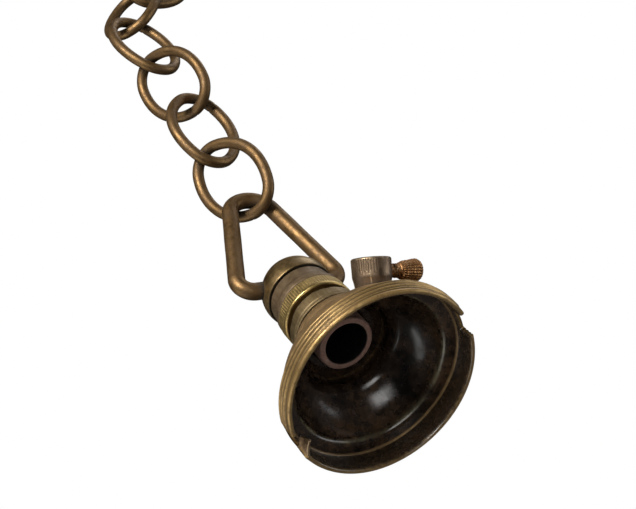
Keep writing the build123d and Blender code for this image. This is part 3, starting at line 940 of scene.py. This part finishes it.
def make_bail():
    """The wire loop, bent in one plane, with its ends turned in to the hub's two holes."""
    pivot = np.array(JOINTS["hub_tilt"]["pos_m"]) / MM
    across = np.array(JOINTS["hub_tilt"]["axis"])
    to_crown = np.array(JOINTS["bail_swing"]["pos_m"]) / MM - pivot
    up = unit(to_crown - across * (to_crown @ across))
    flat = np.cross(across, up)
    wire = np.ptp(span("bail", flat)) / 2
    line = bail_line(span("bail", up)[1] - pivot @ up - wire)
    steps = np.gradient(line, axis=0)
    along = unit(steps)
    path = pivot + line[:, :1] * across + line[:, 1:] * up
    side = along[:, 1:] * across - along[:, :1] * up
    run = np.cumsum(np.linalg.norm(steps, axis=1))
    radius = wire - 0.02 + 0.02 * np.sin(run * 0.55) * np.sin(run * 0.21 + 1)
    from_end = np.minimum(run - run[0], run[-1] - run)
    radius = radius * (0.8 + 0.2 * smooth_step(from_end, 0, 0.5))
    bail = tube("bail_bent", path, side, np.broadcast_to(flat, path.shape), radius, closed=False, sections=36)
    finish_piece(bail, "bail", "bail", bail_material())


# ------------------------------------------------------------------ chain
def link_line(half_length, half_width, end_radius=5.0, steps=44):
    """A link's closed middle line: two tight arcs at its ends and two slack ones along its sides."""
    end = half_length - end_radius
    side_radius = (end**2 + half_width**2 - end_radius**2) / (2 * (half_width - end_radius))
    side = side_radius - half_width
    turned = math.acos(end / (side_radius - end_radius))
    line = []
    for x, y, radius, start, sweep in (
        (end, 0, end_radius, -turned, 2 * turned),
        (0, -side, side_radius, turned, math.pi - 2 * turned),
        (-end, 0, end_radius, math.pi - turned, 2 * turned),
        (0, side, side_radius, math.pi + turned, math.pi - 2 * turned),
    ):
        line.extend(np.array([x, y]) + radius * direction(start + sweep * k / steps) for k in range(steps))
    return np.array(line)


def make_link(number, material):
    """One link of hand-closed wire: its sides bulge unevenly, and a butt seam sits in one of them."""
    node = f"chain_link_{number}"
    points = cad_points(node)
    centre = (points.max(0) + points.min(0)) / 2
    spread = np.linalg.eigh(np.cov((points - points.mean(0)).T))[1]
    flat, long = spread[:, 0], spread[:, 2]
    wide = np.cross(flat, long)
    wire, half_width, half_length = (np.ptp(span(node, axis)) / 2 for axis in (flat, wide, long))
    line = link_line(half_length - wire, half_width - wire)
    chance = np.random.default_rng(100 + number)
    turn = np.linspace(0, math.tau, len(line), endpoint=False)
    line[:, 1] += chance.normal(0, 0.05) * np.sin(turn) ** 3 + chance.normal(0, 0.03) * np.sin(2 * turn) ** 3
    lift = chance.normal(0, 0.04) * np.sin(turn) ** 2 * np.sign(np.sin(turn))
    path = centre + line[:, :1] * long + line[:, 1:] * wide + lift[:, None] * flat
    tangent = unit(np.roll(line, -1, 0) - np.roll(line, 1, 0))
    out = tangent[:, 1:] * long - tangent[:, :1] * wide
    radius = wire - 0.015 + 0.015 * np.sin(turn * 3 + number)
    seam = math.pi / 2 if chance.random() < 0.5 else math.pi * 1.5
    radius -= 0.11 * np.exp(-(((turn - seam) / 0.022) ** 2))
    piece = tube(f"link_{number}_wire", path, out, np.broadcast_to(flat, path.shape), radius, closed=True)
    finish_piece(piece, node, f"link_{number}", material)


# ------------------------------------------------------------------ camera
CAMERA_AIM = Vector((-8.9, -16.2, 13.6)) * MM
CAMERA_AZIMUTH, CAMERA_ELEVATION, CAMERA_ROLL = -52.0, -51.3, -45.9
CAMERA_DISTANCE = 170 * MM
CAMERA_LENS = 61.97
CAMERA_SENSOR = 36


def add_camera():
    """The camera, low under the cap and looking up into it."""
    azimuth, elevation = math.radians(CAMERA_AZIMUTH), math.radians(CAMERA_ELEVATION)
    flat = math.cos(elevation)
    back = Vector((math.sin(azimuth) * flat, -math.cos(azimuth) * flat, math.sin(elevation)))
    camera = show("camera", bpy.data.cameras.new("camera"))
    camera.data.sensor_width = CAMERA_SENSOR
    camera.data.lens = CAMERA_LENS
    camera.data.clip_start, camera.data.clip_end = 0.005, 10
    camera.location = CAMERA_AIM + back * CAMERA_DISTANCE
    camera.rotation_mode = "QUATERNION"
    roll = Matrix.Rotation(math.radians(CAMERA_ROLL), 3, "Z").to_quaternion()
    camera.rotation_quaternion = (-back).to_track_quat("-Z", "Y") @ roll
    bpy.context.scene.camera = camera
    return camera


# ------------------------------------------------------------------ light, floor and world
def add_light(name, camera, towards, distance, size, watts, colour=(1, 1, 1)):
    """A square soft light. towards is a direction in the camera's view: right, up and back to the camera."""
    way = (camera.rotation_quaternion.to_matrix() @ Vector(towards)).normalized()
    light = bpy.data.lights.new(name, "AREA")
    light.shape = "SQUARE"
    light.size = size
    light.energy = watts
    light.color = colour
    lamp = show(name, light)
    lamp.location = CAMERA_AIM + way * distance
    lamp.rotation_mode = "QUATERNION"
    lamp.rotation_quaternion = (-way).to_track_quat("-Z", "Y")
    lamp.visible_camera = False


def floor_material():
    """Pale from above and clear from below. Seen directly it only glows, so it is even from every side."""
    graph = Graph(bpy.data.materials.new("floor_pale"))
    pale = graph.mix(graph.noise(0.02, detail=2.0), (0.80, 0.80, 0.79), (0.84, 0.84, 0.83))
    seen = graph.add("ShaderNodeLightPath").outputs["Is Camera Ray"]
    graph.set(
        Base_Color=graph.mix(seen, pale, (0, 0, 0)),
        Emission_Color=pale,
        Emission_Strength=graph.times(seen, 0.80),
        Specular_IOR_Level=0.0,
        Roughness=0.8,
    )
    choose = graph.add("ShaderNodeMixShader")
    graph.feed(graph.add("ShaderNodeNewGeometry").outputs["Backfacing"], choose.inputs[0])
    graph.feed(graph.surface.outputs[0], choose.inputs[1])
    graph.feed(graph.add("ShaderNodeBsdfTransparent").outputs[0], choose.inputs[2])
    graph.feed(choose.outputs[0], graph.tree.nodes["Material Output"].inputs["Surface"])
    return graph.owner


def add_floor(height=-0.165, half=3.0):
    """A pale floor below the hanging cap, in metres."""
    mesh = bpy.data.meshes.new("floor")
    square = [(-half, -half, height), (half, -half, height), (half, half, height), (-half, half, height)]
    mesh.from_pydata(square, [], [(0, 1, 2, 3)])
    mesh.materials.append(floor_material())
    floor = show("floor", mesh)
    floor.visible_glossy = False      # so that its glow doesn't grey the black inside of the cap


def add_world(camera):
    """White behind the object. What the metal reflects is a dim room, darkest straight ahead and behind."""
    world = bpy.data.worlds.new("studio")
    bpy.context.scene.world = world
    graph = Graph(world, "Background")
    ahead = graph.add("ShaderNodeVectorMath", operation="DOT_PRODUCT")
    ahead.inputs[1].default_value = camera.rotation_quaternion.to_matrix() @ Vector((0, 0, -1))
    graph.feed(graph.coordinates.outputs["Generated"], ahead.inputs[0])
    shade = graph.add("ShaderNodeValToRGB")
    graph.feed(graph.plus(graph.times(ahead.outputs["Value"], 0.5), 0.5), shade.inputs[0])
    behind, front = shade.color_ramp.elements
    behind.position, behind.color = 0.10, (0.010, 0.010, 0.011, 1)
    front.position, front.color = 0.95, (0.030, 0.028, 0.026, 1)
    shade.color_ramp.elements.new(0.55).color = (0.13, 0.127, 0.122, 1)
    seen = graph.add("ShaderNodeLightPath").outputs["Is Camera Ray"]
    graph.set(Color=graph.mix(seen, shade.outputs[0], (1, 1, 1)))


# ------------------------------------------------------------------ the scene
make_cap()
make_burr()
make_nipple()
make_bush()
make_lock_ring()
make_hub()
make_pillar()
make_screw()
make_bail()
chain_finish = wire_metal("wire_bronze").owner
for link_number in range(1, LINK_COUNT + 1):
    make_link(link_number, chain_finish)

view = add_camera()
add_light("key", view, (-0.60, 0.55, 0.60), distance=0.50, size=0.16, watts=4.6, colour=(1.0, 0.97, 0.92))
add_light("fill", view, (0.95, 0.35, -0.10), distance=0.60, size=0.36, watts=1.3, colour=(0.93, 0.96, 1.0))
add_light("low", view, (-0.65, -0.7, 0.20), distance=0.60, size=0.45, watts=1.4)
add_light("far", view, (0.3, 0.9, -0.8), distance=0.90, size=0.45, watts=1.5)
add_light("front", view, (0.17, 0.18, 0.97), distance=0.45, size=0.20, watts=0.75)
add_floor()
add_world(view)
bpy.context.scene.view_settings.view_transform = "Standard"


# ------------------------------------------------------------------ closing
def corners(bounds):
    """Bounds as plain lists of numbers."""
    return [list(corner) for corner in bounds]
